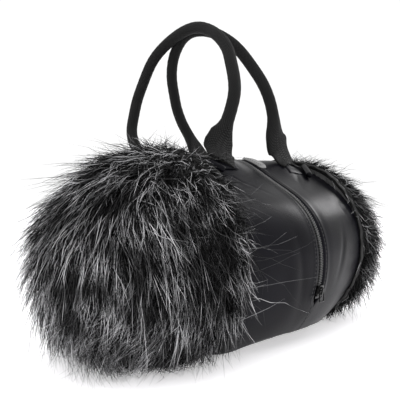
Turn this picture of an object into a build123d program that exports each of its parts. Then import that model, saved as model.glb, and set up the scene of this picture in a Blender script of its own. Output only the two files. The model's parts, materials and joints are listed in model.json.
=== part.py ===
"""Furry windscreen for a two-eared microphone.

A barrel of two leather panels meets at a zip that runs round its middle, and each end is a
domed cap of long fur over foam. Two webbing handles stand on the panels, one each side of the
zip. The barrel lies along X, its front faces -Y, and it rests on z = 0. It has rolled a little
on the surface it lies on, so its zip and its handles are turned towards the back by `roll`.
"""
import os
from math import cos, degrees, radians, sin, tan

from build123d import *

# ---- Barrel ------------------------------------------------------------------------------
PANEL_HALF = 100.0  # from the zip to the seam where the fur starts
ZIP_RADIUS = 99.0  # barrel radius at the zip
ZIP_CENTRE_Z = 80.0
SEAM_RADIUS = 88.0  # barrel radius at the fur seam
SEAM_CENTRE_Z = 89.0
ROLL = 16.0  # degrees that the zip and handles are turned towards the back
LEATHER = 2.0
LINING = 8.0  # foam under the leather
LAYER_GAP = 0.2  # between layers that are only sewn at their edges
LINING_SETBACK = 16.0  # the lining stays this far from the zip's middle

# ---- Fur caps ----------------------------------------------------------------------------
CAP_DEPTH = 88.0  # from the fur seam to the tip of the knitted backing
PILE_DEPTH = 37.0  # pile beyond the backing at the tip
PILE_RADIUS = 107.5  # widest radius of the pile
PILE_WIDEST = 12.0  # the pile is widest this far beyond the fur seam
PILE_CUFF = 100.0  # pile radius where it starts at the seam
PILE_TURN = 4.8  # how far out the pile's rim has mostly turned
PILE_TURN_DROP = 2.2  # what it still lacks of its radius there
BACKING = 1.2
CAP_FOAM = 12.0
PIPING_RADIUS = 1.8
PIPING_LIFT = 0.5  # the piping stands this far proud of the seam

# ---- Zip ---------------------------------------------------------------------------------
ZIP_HALF_ANGLE = 126.0  # from the barrel's top to each end of the zip, degrees
ZIP_SLOT = 6.5  # half the gap between the leather edges
TAPE_HALF = 14.0
TAPE = 0.6
TAPE_DROP = 0.1  # tape lies this far under the leather
TAPE_EDGE_GAP = 0.4  # from the teeth's tips to the tape's bead
TOOTH_PITCH = 5.0
TOOTH_ARC = 2.0
TOOTH_REACH = 3.1  # half the chain's width
TOOTH_OVERLAP = 0.8
TOOTH_HEIGHT = 2.2
TOOTH_SEAT = 0.1
STOP_ARC = 3.0
SLIDER_ARC = 10.0
SLIDER_HALF = 4.7
SLIDER_CLEAR = 0.35
SLIDER_PLATE = 1.2
SLIDER_FROM_END = 8.0  # arc from the zip's end to the parked slider's middle
BRIDGE_HEIGHT = 2.6
BRIDGE_HALF = 1.2
BRIDGE_ARC = 4.0
WELD = 0.1  # how far joined blocks run into each other
BRIDGE_HOLE_RADIUS = 0.75
PULLER_WIRE_RADIUS = 0.6
PULLER_HALF_WIDTH = 3.6
PULLER_LENGTH = 9.0

# ---- Opening hinge -----------------------------------------------------------------------
HINGE_DEPTH = 75.0  # the fold that the right half opens on lies this far under the axis
OPEN_ANGLE = 30.0
OPEN_SPARE = 2.0  # degrees of room past the full opening
SEWN_GAP = 0.15

# ---- Handles -----------------------------------------------------------------------------
FOOT_X = 48.0
FOOT_ANGLE = 27.0  # from the barrel's top to each foot
WEBBING_WIDTH = 38.0
WEBBING = 3.0
HANDLE_RADIUS = 6.0
CORE_RADIUS = 3.6
BEND_SHARE = 0.45  # share of the shorter leg that a bend takes
EDGE_ROUND = 0.42  # rounding of the webbing's edge, in thicknesses
HANDLE_TOP_X = 6.6
HANDLE_TOP = (50.0, 321.0)  # y and z of the highest part of a handle
FOOT_LENGTH = 20.0  # sewn length of the webbing at each foot
FOOT_CLEAR = 3.0  # room between a paddle and its patch, for the fold
PATCH_MARGIN = 3.0
PATCH = 1.2
# A paddle's sections: share of its length, width and thickness.
PADDLE_STATIONS = [
    (0, WEBBING_WIDTH, WEBBING),
    (0.5, WEBBING_WIDTH, WEBBING * 1.1),
    (0.78, WEBBING_WIDTH * 0.66, WEBBING * 1.9),
    (1, HANDLE_RADIUS * 1.9, HANDLE_RADIUS * 1.9),
]
# Routes lie in each handle's own plane: along the line of its feet, then up.
LEFT_ROUTE = [(-18, 40), (-24, 78), (-14, 118), (18, 156), (62, 170), (100, 154), (122, 114), (125, 76)]
RIGHT_ROUTE = [(-16, 42), (-20, 78), (-11, 118), (14, 153), (46, 170), (80, 159), (98, 118), (101, 76)]

# ---- Trim --------------------------------------------------------------------------------
TAB_LENGTH = 28.0
TAB_WIDTH = 11.0
TAB = 1.8
TAB_ANGLE = 26.0
WELT_RADIUS = 3.2
WELT_LIFT = 0.6  # room between the rolled welt and the panel
WELT_X = 82.0
WELT_HALF_ARC = 8.0
WELT_ANGLE = 39.0
BOARD = 2.4
BOARD_LENGTH = 58.0
BOARD_WIDTH = 36.0
BOARD_SETBACK = 22.0  # from the zip's middle to the board's near end

FAR = 400.0  # larger than the whole object, for cutting blocks


# ---- Helpers -----------------------------------------------------------------------------
def radius_at(x):
    return ZIP_RADIUS - (ZIP_RADIUS - SEAM_RADIUS) * (x / PANEL_HALF) ** 2


def centre_at(x):
    return ZIP_CENTRE_Z + (SEAM_CENTRE_Z - ZIP_CENTRE_Z) * (x / PANEL_HALF) ** 2


def clock(angle):
    """Turn from straight up, towards the front, of a place `angle` from the rolled top."""
    return angle - ROLL


def out_of(angle):
    """Outward direction at that place, as y and z."""
    turn = radians(clock(angle))
    return -sin(turn), cos(turn)


def on_barrel(x, angle, lift=0.0):
    y, z = out_of(angle)
    reach = radius_at(x) + lift
    return Vector(x, reach * y, centre_at(x) + reach * z)


def slab(x0, x1):
    return Pos((x0 + x1) / 2, 0, 0) * Box(x1 - x0, FAR, 2 * FAR)


def above(z):
    return Pos(0, 0, z + FAR / 2) * Box(2 * FAR, FAR, FAR)


def barrel(inset):
    """The barrel, shrunk by `inset`, and flat where it rests."""
    stations = [PANEL_HALF * share for share in (-1, -0.5, 0, 0.5, 1)]
    rings = []
    for x in stations:
        plane = Plane(origin=(x, 0, centre_at(x)), x_dir=(0, 1, 0), z_dir=(1, 0, 0))
        rings.append(plane * Circle(radius_at(x) - inset))
    return loft(rings) & above(inset)


def shell(outer, inner, x0, x1):
    return (barrel(outer) & slab(x0, x1)) - barrel(inner)


def low_wedge(x0, x1):
    """The pie slice under the zip's ends."""
    spread = 180.0 - ZIP_HALF_ANGLE
    plane = Plane(origin=(x0, 0, ZIP_CENTRE_Z), x_dir=(0, 1, 0), z_dir=(1, 0, 0))
    corners = [(0, 0)]
    for angle in (180 - spread, 180, 180 + spread):
        y, z = out_of(angle)
        corners.append((FAR * y, FAR * z))
    return extrude(plane * make_face(Polyline(*corners, close=True)), amount=x1 - x0)


def swing_room():
    """What the right half has to leave free below the fold to swing inwards."""
    edge = FAR * tan(radians(OPEN_ANGLE + OPEN_SPARE))
    outline = Polyline((-FAR, 0), (SEWN_GAP, 0), (edge + SEWN_GAP, -FAR), (-FAR, -FAR), close=True)
    prism = extrude(Plane.XZ * make_face(outline), amount=FAR / 2, both=True)
    return Pos(0, 0, ZIP_CENTRE_Z) * Rot(X=-ROLL) * Pos(0, 0, -HINGE_DEPTH) * prism


def arc_block(low, high, x0, x1, middle, arc):
    """A block between two radii round the zip's centre, `arc` mm long at the zip."""
    ring = Cylinder(high, x1 - x0, rotation=(0, 90, 0)) - Cylinder(low, x1 - x0, rotation=(0, 90, 0))
    spread = arc / ZIP_RADIUS / 2
    slice_face = make_face(Polyline((0, 0), (-FAR * sin(spread), FAR * cos(spread)),
                                    (FAR * sin(spread), FAR * cos(spread)), close=True))
    plane = Plane(origin=(x0 - x1, 0, 0), x_dir=(0, 1, 0), z_dir=(1, 0, 0))
    cutter = extrude(plane * slice_face, amount=2 * (x1 - x0))
    place = Pos((x0 + x1) / 2, 0, ZIP_CENTRE_Z) * Rot(X=clock(middle))
    return place * (ring & cutter)


def rod(start, end, radius):
    start, end = Vector(*start), Vector(*end)
    return Plane(origin=start, z_dir=end - start) * Cylinder(
        radius, (end - start).length, align=(Align.CENTER, Align.CENTER, Align.MIN))


# ---- Panels and lining -------------------------------------------------------------------
def panel():
    full = shell(0, LEATHER, -PANEL_HALF, -ZIP_SLOT)
    closed = shell(0, LEATHER, -ZIP_SLOT, -SEWN_GAP) & low_wedge(-ZIP_SLOT - 1, 0)
    return full + closed


def lining():
    top = LEATHER + LAYER_GAP
    return shell(top, top + LINING, -PANEL_HALF, -LINING_SETBACK)


def base_gusset():
    """The sewn leather under the zip's ends, which folds as the halves open."""
    top = LEATHER + LAYER_GAP
    return shell(top, top + LEATHER, -LINING_SETBACK + 1, LINING_SETBACK - 1) & low_wedge(-FAR, FAR)


def base_board():
    """A stiff curved strip that keeps the bottom of the left panel in shape."""
    outer = LEATHER + LAYER_GAP + LINING + LAYER_GAP
    full = shell(outer, outer + BOARD, -BOARD_SETBACK - BOARD_LENGTH, -BOARD_SETBACK)
    return full & Pos(0, 0, ZIP_CENTRE_Z / 2) * Box(FAR, BOARD_WIDTH, ZIP_CENTRE_Z)


# ---- Fur caps ----------------------------------------------------------------------------
def half_ellipsoid(reach, radius):
    """The left cap: half an ellipsoid whose flat face is at the fur seam."""
    outline = EllipticalCenterArc((0, 0), reach, radius, start_angle=90, arc_size=90)
    sides = Polyline((-reach, 0), (0, 0), (0, radius))
    face = make_face(outline + sides)
    return Pos(-PANEL_HALF, 0, SEAM_CENTRE_Z) * revolve(Plane.XZ * face, axis=Axis.X)


def cap_layer(outer, inner):
    grow = half_ellipsoid(CAP_DEPTH - outer, SEAM_RADIUS - outer)
    return grow - half_ellipsoid(CAP_DEPTH - inner, SEAM_RADIUS - inner)


def fur_backing():
    return cap_layer(0, BACKING)


def cap_foam():
    top = BACKING + LAYER_GAP
    return cap_layer(top, top + CAP_FOAM)


def fur_pile():
    tip = CAP_DEPTH + PILE_DEPTH
    cuff = ThreePointArc((0, PILE_CUFF), (-PILE_TURN, PILE_RADIUS - PILE_TURN_DROP), (-PILE_WIDEST, PILE_RADIUS))
    middle = (-PILE_WIDEST, 0)
    crown = EllipticalCenterArc(middle, tip - PILE_WIDEST, PILE_RADIUS, start_angle=90, arc_size=90)
    rest = Polyline((-tip, 0), (0, 0), (0, PILE_CUFF))
    face = make_face(cuff + crown + rest)
    outer = Pos(-PANEL_HALF, 0, SEAM_CENTRE_Z) * revolve(Plane.XZ * face, axis=Axis.X)
    inside = half_ellipsoid(CAP_DEPTH + LAYER_GAP, SEAM_RADIUS + LAYER_GAP)
    return (outer - inside - piping(PIPING_RADIUS + LAYER_GAP)) & above(0)


def piping(radius):
    ring = Torus(SEAM_RADIUS + PIPING_LIFT + PIPING_RADIUS, radius)
    return (Pos(-PANEL_HALF, 0, SEAM_CENTRE_Z) * Rot(Y=90) * ring) & above(0)


# ---- Zip ---------------------------------------------------------------------------------
def zip_tape():
    top = LEATHER + TAPE_DROP
    strip = shell(top, top + TAPE, -TAPE_HALF, -TOOTH_OVERLAP - TAPE_EDGE_GAP)
    return strip - low_wedge(-TAPE_HALF - 1, 0)


def tooth_seat():
    return ZIP_RADIUS - LEATHER - TAPE_DROP + TOOTH_SEAT


def teeth(first_shift):
    """Moulded teeth of one side, each a block that reaches just past the middle."""
    low = tooth_seat()
    radius = low + TOOTH_HEIGHT / 2
    span = radians(2 * ZIP_HALF_ANGLE) * ZIP_RADIUS - 2 * STOP_ARC - 2 * TOOTH_PITCH
    count = int(span / TOOTH_PITCH)
    width = TOOTH_REACH + TOOTH_OVERLAP
    block = Box(width, TOOTH_ARC, TOOTH_HEIGHT)
    row = []
    for index in range(count):
        along = (index - (count - 1) / 2) * TOOTH_PITCH + first_shift
        turn = clock(degrees(along / ZIP_RADIUS))
        row.append(Pos(0, 0, ZIP_CENTRE_Z) * Rot(X=turn) * Pos(TOOTH_OVERLAP - width / 2, 0, radius) * block)
    return Compound(children=row)


def zip_stop(end):
    """The moulded stop that joins both tapes at one end, +1 at the front and -1 at the back."""
    low = tooth_seat()
    middle = end * (ZIP_HALF_ANGLE - degrees(STOP_ARC / 2 / ZIP_RADIUS))
    return arc_block(low, low + TOOTH_HEIGHT, -TOOTH_REACH, TOOTH_REACH, middle, STOP_ARC)


def slider_angle():
    return ZIP_HALF_ANGLE - degrees(SLIDER_FROM_END / ZIP_RADIUS)


def bridge_radius():
    return tooth_seat() + TOOTH_HEIGHT + SLIDER_CLEAR + SLIDER_PLATE + BRIDGE_HEIGHT / 2


def slider_body():
    """The slider's outer plate, the flange that guides it and the bridge that holds the puller."""
    top = tooth_seat() + TOOTH_HEIGHT + SLIDER_CLEAR
    foot = tooth_seat() + SLIDER_CLEAR
    here = slider_angle()
    body = arc_block(top, top + SLIDER_PLATE, -SLIDER_HALF, SLIDER_HALF, here, SLIDER_ARC)
    inner = TOOTH_REACH + SLIDER_CLEAR
    body += arc_block(foot, top + WELD, -SLIDER_HALF, -inner, here, SLIDER_ARC)
    low = top + SLIDER_PLATE - WELD
    bridge = arc_block(low, top + SLIDER_PLATE + BRIDGE_HEIGHT, -BRIDGE_HALF, BRIDGE_HALF, here, BRIDGE_ARC)
    hole = Cylinder(BRIDGE_HOLE_RADIUS, 2 * SLIDER_HALF, rotation=(0, 90, 0))
    y, z = out_of(here)
    return body + (bridge - Pos(0, bridge_radius() * y, ZIP_CENTRE_Z + bridge_radius() * z) * hole)


def puller():
    """A small wire ring that hangs straight down from the slider's bridge."""
    corners = [(-PULLER_HALF_WIDTH, 0), (PULLER_HALF_WIDTH, 0), (PULLER_HALF_WIDTH, -PULLER_LENGTH),
               (-PULLER_HALF_WIDTH, -PULLER_LENGTH)]
    ring = None
    for index, (x, along) in enumerate(corners):
        nx, nalong = corners[(index + 1) % 4]
        piece = rod((x, along, 0), (nx, nalong, 0), PULLER_WIRE_RADIUS)
        piece += Pos(x, along, 0) * Sphere(PULLER_WIRE_RADIUS)
        ring = piece if ring is None else ring + piece
    y, z = out_of(slider_angle())
    return Pos(0, bridge_radius() * y, ZIP_CENTRE_Z + bridge_radius() * z) * Rot(X=90) * ring


# ---- Handles -----------------------------------------------------------------------------
def handle_plane(side):
    """Plane of one handle: its origin is the front foot, its x runs to the back foot."""
    front = on_barrel(side * FOOT_X, FOOT_ANGLE)
    back = on_barrel(side * FOOT_X, -FOOT_ANGLE)
    top = Vector(side * HANDLE_TOP_X, *HANDLE_TOP)
    along = (back - front).normalized()
    normal = along.cross(top - front).normalized()
    return Plane(origin=front, x_dir=along, z_dir=normal)


def foot_gap():
    return (on_barrel(FOOT_X, -FOOT_ANGLE) - on_barrel(FOOT_X, FOOT_ANGLE)).length


def route_path(side, route):
    """Straight runs joined by arcs, each as large as its two runs allow."""
    points = [Vector(u, v) for u, v in route]
    radii = []
    for before, here, after in zip(points, points[1:], points[2:]):
        turn = (here - before).get_angle(after - here)
        shorter = min((here - before).length, (after - here).length)
        radii.append(BEND_SHARE * shorter / tan(radians(turn / 2)))
    return handle_plane(side) * FilletPolyline(*[(u, v, 0) for u, v in route], radius=radii)


def tube(side, route, outer, inner):
    path = route_path(side, route)
    section = Plane(origin=path @ 0, z_dir=path % 0)
    face = Circle(outer) - Circle(inner) if inner else Circle(outer)
    return sweep(section * face, path=path)


def paddle(side, foot_u, route, start):
    """Flat webbing from just above a foot to the end of the tube, where it is rolled up."""
    u, v = start
    lean = Vector(u - foot_u, v)
    step = lean.normalized()
    plane = handle_plane(side)
    end = Vector(u, v) - step * LAYER_GAP
    low = Vector(foot_u, 0) - step * FOOT_LENGTH / 2
    sections = []
    for share, width, thick in PADDLE_STATIONS:
        spot = low + (end - low) * share
        centre = plane.from_local_coords((spot.X, spot.Y, 0))
        direction = plane.from_local_coords((step.X, step.Y, 0)) - plane.origin
        across = plane.from_local_coords((step.Y, -step.X, 0)) - plane.origin
        frame = Plane(origin=centre, x_dir=across, z_dir=direction)
        sections.append(frame * RectangleRounded(width, thick, thick * EDGE_ROUND))
    flat = loft(sections, ruled=True) - barrel(-(LAYER_GAP + PATCH + FOOT_CLEAR))
    return flat - tube(side, route, HANDLE_RADIUS + LAYER_GAP, 0)


def pad(side, angle, lift, thick, length, width):
    """A flat patch on the barrel under a handle's foot, curved as the barrel is."""
    centre = on_barrel(side * FOOT_X, angle)
    top, bottom = -(lift + thick), -lift
    plane = Plane(origin=centre, x_dir=(1, 0, 0), z_dir=Vector(0, *out_of(angle)))
    cutter = plane * Box(length, width, FAR / 4)
    return (barrel(top) - barrel(bottom)) & cutter


# ---- Trim --------------------------------------------------------------------------------
def side_tab():
    """A folded leather tab that lies along the zip's right edge, near the top."""
    x0 = ZIP_SLOT + 0.5
    low = ZIP_RADIUS + LAYER_GAP
    return arc_block(low, low + TAB, x0, x0 + TAB_WIDTH, TAB_ANGLE, TAB_LENGTH)


def welt(side):
    """A rolled leather welt beside a front foot."""
    spread = range(-2, 3)
    lift = WELT_RADIUS + WELT_LIFT
    points = [on_barrel(side * WELT_X, WELT_ANGLE + step * WELT_HALF_ARC / 2, lift) for step in spread]
    body = None
    for start, end in zip(points, points[1:]):
        piece = rod(start, end, WELT_RADIUS) + Pos(*end) * Sphere(WELT_RADIUS)
        body = piece if body is None else body + piece
    return body + Pos(*points[0]) * Sphere(WELT_RADIUS)


def half_shapes(name, side, opening):
    """Every layer of one half. The right half is the left one's mirror, less its swing room."""
    shapes = {
        "panel": panel(), "panel_lining": lining(), "piping": piping(PIPING_RADIUS),
        "fur_backing": fur_backing(), "fur_pile": fur_pile(), "cap_foam": cap_foam(),
        "zip_tape": zip_tape(),
    }
    if side > 0:
        shapes = {key: mirror(shape, about=Plane.YZ) for key, shape in shapes.items()}
        for key in ("panel", "panel_lining"):
            shapes[key] = shapes[key] - opening
        shapes["zip_teeth"] = mirror(teeth(TOOTH_PITCH / 2), about=Plane.YZ)
    else:
        shapes["zip_teeth"] = teeth(0)
    shapes["foot_welt"] = welt(side)
    for end, angle in (("front", FOOT_ANGLE), ("back", -FOOT_ANGLE)):
        patch_length = FOOT_LENGTH + 2 * PATCH_MARGIN
        patch_width = WEBBING_WIDTH + 2 * PATCH_MARGIN
        shapes[end + "_patch"] = pad(side, angle, LAYER_GAP, PATCH, patch_length, patch_width)
    return {name + "_" + key: shape for key, shape in shapes.items()}


def handle_shapes(name, side, route):
    return {
        name + "_handle_webbing": tube(side, route, HANDLE_RADIUS, CORE_RADIUS + LAYER_GAP),
        name + "_handle_core": tube(side, route, CORE_RADIUS, 0),
        name + "_front_paddle": paddle(side, 0.0, route, route[0]),
        name + "_back_paddle": paddle(side, foot_gap(), route, route[-1]),
    }


if __name__ == "__main__":
    os.makedirs("parts", exist_ok=True)
    opening = swing_room()
    parts = {}
    parts.update(half_shapes("left", -1, opening))
    parts.update(half_shapes("right", 1, opening))
    parts["base_gusset"] = base_gusset()
    parts["base_board"] = base_board()
    parts["zip_front_stop"] = zip_stop(1)
    parts["zip_back_stop"] = zip_stop(-1)
    parts["slider_body"] = slider_body()
    parts["slider_puller"] = puller()
    parts["side_tab"] = side_tab()
    parts.update(handle_shapes("left", -1, LEFT_ROUTE))
    parts.update(handle_shapes("right", 1, RIGHT_ROUTE))
    for node, shape in parts.items():
        export_step(shape, f"parts/{node}.step")
    print(len(parts), "nodes")
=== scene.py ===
# %% [markdown]
# # A furry windscreen in Blender
# The object is a barrel of black leatherette that opens at a zip round its middle. A cap of
# long fur covers each end, and two webbing handles stand on the barrel. The CAD frame holds
# the sizes, the joints and where everything is. This script gives each piece its real surface.

# %% Load the frame
import json
from math import cos, pi, radians, sin, tau

import bmesh
import bpy
import numpy as np
from mathutils import Matrix, Vector, noise


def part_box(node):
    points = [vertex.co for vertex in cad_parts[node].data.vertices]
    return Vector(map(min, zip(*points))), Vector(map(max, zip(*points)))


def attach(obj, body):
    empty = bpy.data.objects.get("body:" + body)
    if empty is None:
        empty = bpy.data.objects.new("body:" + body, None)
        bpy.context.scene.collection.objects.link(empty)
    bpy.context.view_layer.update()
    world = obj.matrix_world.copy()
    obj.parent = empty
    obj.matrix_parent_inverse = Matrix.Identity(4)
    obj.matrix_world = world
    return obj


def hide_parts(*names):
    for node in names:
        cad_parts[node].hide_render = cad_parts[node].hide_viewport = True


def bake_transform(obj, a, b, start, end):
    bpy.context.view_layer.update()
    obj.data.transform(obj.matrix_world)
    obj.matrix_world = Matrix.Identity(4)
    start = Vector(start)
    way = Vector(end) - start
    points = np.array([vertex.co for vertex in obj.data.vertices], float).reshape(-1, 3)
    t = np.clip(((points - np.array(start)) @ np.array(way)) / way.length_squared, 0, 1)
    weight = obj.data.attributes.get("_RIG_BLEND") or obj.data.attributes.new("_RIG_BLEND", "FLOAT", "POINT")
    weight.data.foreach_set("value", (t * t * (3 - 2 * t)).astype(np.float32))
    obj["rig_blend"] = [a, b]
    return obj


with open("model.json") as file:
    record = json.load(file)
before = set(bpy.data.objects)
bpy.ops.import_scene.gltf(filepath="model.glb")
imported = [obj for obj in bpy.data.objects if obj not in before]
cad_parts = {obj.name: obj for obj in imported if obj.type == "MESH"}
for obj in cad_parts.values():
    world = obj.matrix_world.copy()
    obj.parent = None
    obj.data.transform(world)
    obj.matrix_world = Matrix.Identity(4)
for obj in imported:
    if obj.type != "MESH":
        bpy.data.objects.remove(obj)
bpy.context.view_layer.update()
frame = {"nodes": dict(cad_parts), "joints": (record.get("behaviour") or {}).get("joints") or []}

# %% [markdown]
# ## Sizes from the frame
# Every place is worked out from a few CAD boxes and joints, so the looks follow the design.
# The barrel's surface is one function of x and of the turn round the barrel. Each sewn layer
# is that surface with a different lift, which keeps the layers apart everywhere.

# %% Driving sizes
MM = 0.001
joints = {joint["name"]: joint for joint in frame["joints"]}
panel_low, panel_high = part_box("left_panel")
seam_low, seam_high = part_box("left_fur_backing")
ZIP_CENTRE_Z = joints["slider_travel"]["pos_m"][2]
ZIP_RADIUS = panel_high.y
PANEL_HALF = -panel_low.x
SEAM_RADIUS = (seam_high.y - seam_low.y) / 2
SEAM_Z = seam_high.z - SEAM_RADIUS
CAP_DEPTH = -PANEL_HALF - seam_low.x
ROLL = radians(16.0)
ZIP_HALF_ANGLE = radians(126.0)
LEATHER = 2.0 * MM
SAG = 12.0 * MM
TUCK_DEPTH = 14.0 * MM
TUCK_FROM, TUCK_TO = 36 * MM, 72 * MM
FOOT_X = 0.048
FOOT_TURNS = (radians(27) - ROLL, -radians(27) - ROLL)
print("zip radius", round(ZIP_RADIUS, 4), "panel half", round(PANEL_HALF, 4))
print("cap depth", round(CAP_DEPTH, 4))


# %% The barrel's surface
def smooth(low, high, value):
    share = np.clip((np.asarray(value, float) - low) / (high - low), 0, 1)
    return share * share * (3 - 2 * share)


def sag_at(x, turn):
    """Soft leather hangs in a little between the top and the belly, in front and behind."""
    front = np.clip((pi / 2 - turn) / radians(98), 0, 1)
    back = np.clip((pi / 2 + turn) / radians(98), 0, 1)
    dip = np.sin(pi * front ** 1.35) ** 2 + 0.6 * np.sin(pi * back ** 1.35) ** 2
    held = np.zeros(np.broadcast(x, turn).shape)
    for foot in FOOT_TURNS:
        near = ((np.abs(x) - FOOT_X) / 0.022) ** 2
        held = np.maximum(held, np.exp(-near - ((turn - foot) / radians(13)) ** 2))
    return -SAG * dip * (1 - 0.5 * (x / PANEL_HALF) ** 2) * (1 - held)


def barrel_point(x, angle, lift=0.0):
    """Points on the barrel at x, `angle` from its rolled top towards the front."""
    x, angle = np.broadcast_arrays(np.asarray(x, float), np.asarray(angle, float))
    turn = (angle - ROLL + pi) % tau - pi
    share = (x / PANEL_HALF) ** 2
    reach = ZIP_RADIUS - (ZIP_RADIUS - SEAM_RADIUS) * share + lift + sag_at(x, turn)
    centre = ZIP_CENTRE_Z + (SEAM_Z - ZIP_CENTRE_Z) * share
    height = centre + reach * np.cos(turn)
    tuck = TUCK_DEPTH * smooth(TUCK_FROM, TUCK_TO, reach * np.sin(turn)) * (1 - share ** 2) * (turn > pi / 2)
    rest = np.maximum(-np.asarray(lift), 0) + tuck
    return np.stack([x, -reach * np.sin(turn), np.maximum(height, rest)], -1)


def outward(angle):
    turn = np.asarray(angle, float) - ROLL
    return np.stack([np.zeros_like(turn), -np.sin(turn), np.cos(turn)], -1)


def wrinkle(points, scale, seed):
    """Smooth noise at each point, from -1 to 1, for gentle folds."""
    flat = points.reshape(-1, 3)
    shift = Vector((seed * 7.31, seed * 3.17, seed * 5.93))
    values = [noise.noise(Vector(p) * scale + shift) for p in flat]
    return np.array(values).reshape(points.shape[:-1])


# %% [markdown]
# ## Mesh helpers
# A grid of points is enough for most pieces: panels, tubes and domes differ only in how the
# grid closes. `shell_mesh` gives a sheet its real thickness by joining an outer and an inner
# grid round their rims, so every piece is a closed solid whose faces point outwards.

# %% Grids and shells
def new_piece(name, vertices, faces, uv=None):
    mesh = bpy.data.meshes.new(name)
    mesh.from_pydata([tuple(v) for v in vertices], [], faces)
    mesh.validate()
    piece = bpy.data.objects.new(name, mesh)
    bpy.context.scene.collection.objects.link(piece)
    if uv is not None:
        layer = mesh.uv_layers.new(name="along")
        corners = np.zeros(len(mesh.loops), np.int64)
        mesh.loops.foreach_get("vertex_index", corners)
        spots = np.asarray(uv, float)[corners]
        for face in mesh.polygons:
            around = spots[face.loop_start:face.loop_start + face.loop_total, 0]
            if face.loop_total == 4 and np.ptp(around) > 0.5:
                around[around < 0.5] += 1
        layer.data.foreach_set("uv", spots.ravel())
    mesh.polygons.foreach_set("use_smooth", [True] * len(mesh.polygons))
    face_outwards(mesh)
    return piece


def face_outwards(mesh):
    work = bmesh.new()
    work.from_mesh(mesh)
    bmesh.ops.recalc_face_normals(work, faces=work.faces)
    work.to_mesh(mesh)
    work.free()


def grid_faces(rows, columns, first, closed_rows, closed_columns, flip=False):
    faces = []
    for row in range(rows if closed_rows else rows - 1):
        for column in range(columns if closed_columns else columns - 1):
            down, over = (row + 1) % rows, (column + 1) % columns
            corners = (row * columns + column, row * columns + over,
                       down * columns + over, down * columns + column)
            faces.append(tuple(first + c for c in (corners[::-1] if flip else corners)))
    return faces


def shell_mesh(name, outer, inner, closed_rows=True, uv=None):
    """A sheet with thickness: rows go round, columns go across from rim to rim."""
    rows, columns = outer.shape[:2]
    count = rows * columns
    vertices = np.concatenate([outer.reshape(-1, 3), inner.reshape(-1, 3)])
    faces = grid_faces(rows, columns, 0, closed_rows, False)
    faces += grid_faces(rows, columns, count, closed_rows, False, flip=True)
    for row in range(rows if closed_rows else rows - 1):
        after = (row + 1) % rows
        for column in (0, columns - 1):
            a, b = row * columns + column, after * columns + column
            faces.append((a, b, count + b, count + a))
    if not closed_rows:
        for row in (0, rows - 1):
            for column in range(columns - 1):
                a, b = row * columns + column, row * columns + column + 1
                faces.append((a, b, count + b, count + a))
    if uv is not None:
        uv = np.concatenate([uv.reshape(-1, 2)] * 2)
    return new_piece(name, vertices, faces, uv)


def tube_mesh(name, centres, sides_a, sides_b, half_a, half_b, around=24, closed=False, uv=True, shape=None):
    """A tube through centres, with half sizes along two side directions at each place."""
    turns = np.arange(around) * tau / around
    ring_a, ring_b = np.cos(turns), np.sin(turns)
    if shape is not None:
        ring_a, ring_b = shape(ring_a, ring_b)
    rings = (centres[:, None, :] + sides_a[:, None, :] * (half_a[:, None] * ring_a)[..., None]
             + sides_b[:, None, :] * (half_b[:, None] * ring_b)[..., None])
    count = len(centres)
    faces = grid_faces(count, around, 0, closed, True)
    if not closed:
        faces += [tuple(range(around)), tuple((count - 1) * around + k for k in range(around))]
    run = np.concatenate([[0], np.cumsum(np.linalg.norm(np.diff(centres, axis=0), axis=1))])
    spots = np.stack(np.broadcast_arrays(np.arange(around)[None, :] / around, run[:, None]), -1)
    return new_piece(name, rings.reshape(-1, 3), faces, spots.reshape(-1, 2) if uv else None)


# %% [markdown]
# ## Node helpers
# Both the materials and the Geometry Nodes trees are built in code. One small function adds
# a node, sets its options and links its inputs, so a tree reads as a list of steps.

# %% Adding nodes
def socket_of(node, key):
    if isinstance(key, int):
        return node.inputs[key]
    for socket in node.inputs:
        if socket.enabled and key in (socket.identifier, socket.name):
            return socket
    raise KeyError(f"{node.name} has no input {key}")


def add(tree, kind, inputs=None, **options):
    node = tree.nodes.new(kind)
    for key, value in options.items():
        setattr(node, key, value)
    for key, value in (inputs or {}).items():
        socket = socket_of(node, key)
        if isinstance(value, bpy.types.NodeSocket):
            tree.links.new(value, socket)
        else:
            socket.default_value = value
    return node


def maths(tree, operation, *values):
    return add(tree, "ShaderNodeMath", dict(enumerate(values)), operation=operation).outputs[0]


def vector_maths(tree, operation, *values):
    node = tree.nodes.new("ShaderNodeVectorMath")
    node.operation = operation
    for index, value in enumerate(values):
        socket = node.inputs["Scale"] if operation == "SCALE" and index == 1 else node.inputs[index]
        if isinstance(value, bpy.types.NodeSocket):
            tree.links.new(value, socket)
        else:
            socket.default_value = value
    return node.outputs["Vector"]


def new_nodes(name, sockets):
    """A Geometry Nodes tree with named inputs. Returns it with its input node's outputs."""
    tree = bpy.data.node_groups.new(name, "GeometryNodeTree")
    tree.interface.new_socket(name="Geometry", in_out="OUTPUT", socket_type="NodeSocketGeometry")
    for label, kind in [("Geometry", "Geometry")] + sockets:
        tree.interface.new_socket(name=label, in_out="INPUT", socket_type="NodeSocket" + kind)
    return tree, tree.nodes.new("NodeGroupInput").outputs


def finish_nodes(tree, geometry, material):
    real = add(tree, "GeometryNodeRealizeInstances", {"Geometry": geometry})
    painted = add(tree, "GeometryNodeSetMaterial", {"Geometry": real.outputs[0], "Material": material})
    add(tree, "NodeGroupOutput", {"Geometry": painted.outputs[0]})


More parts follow.
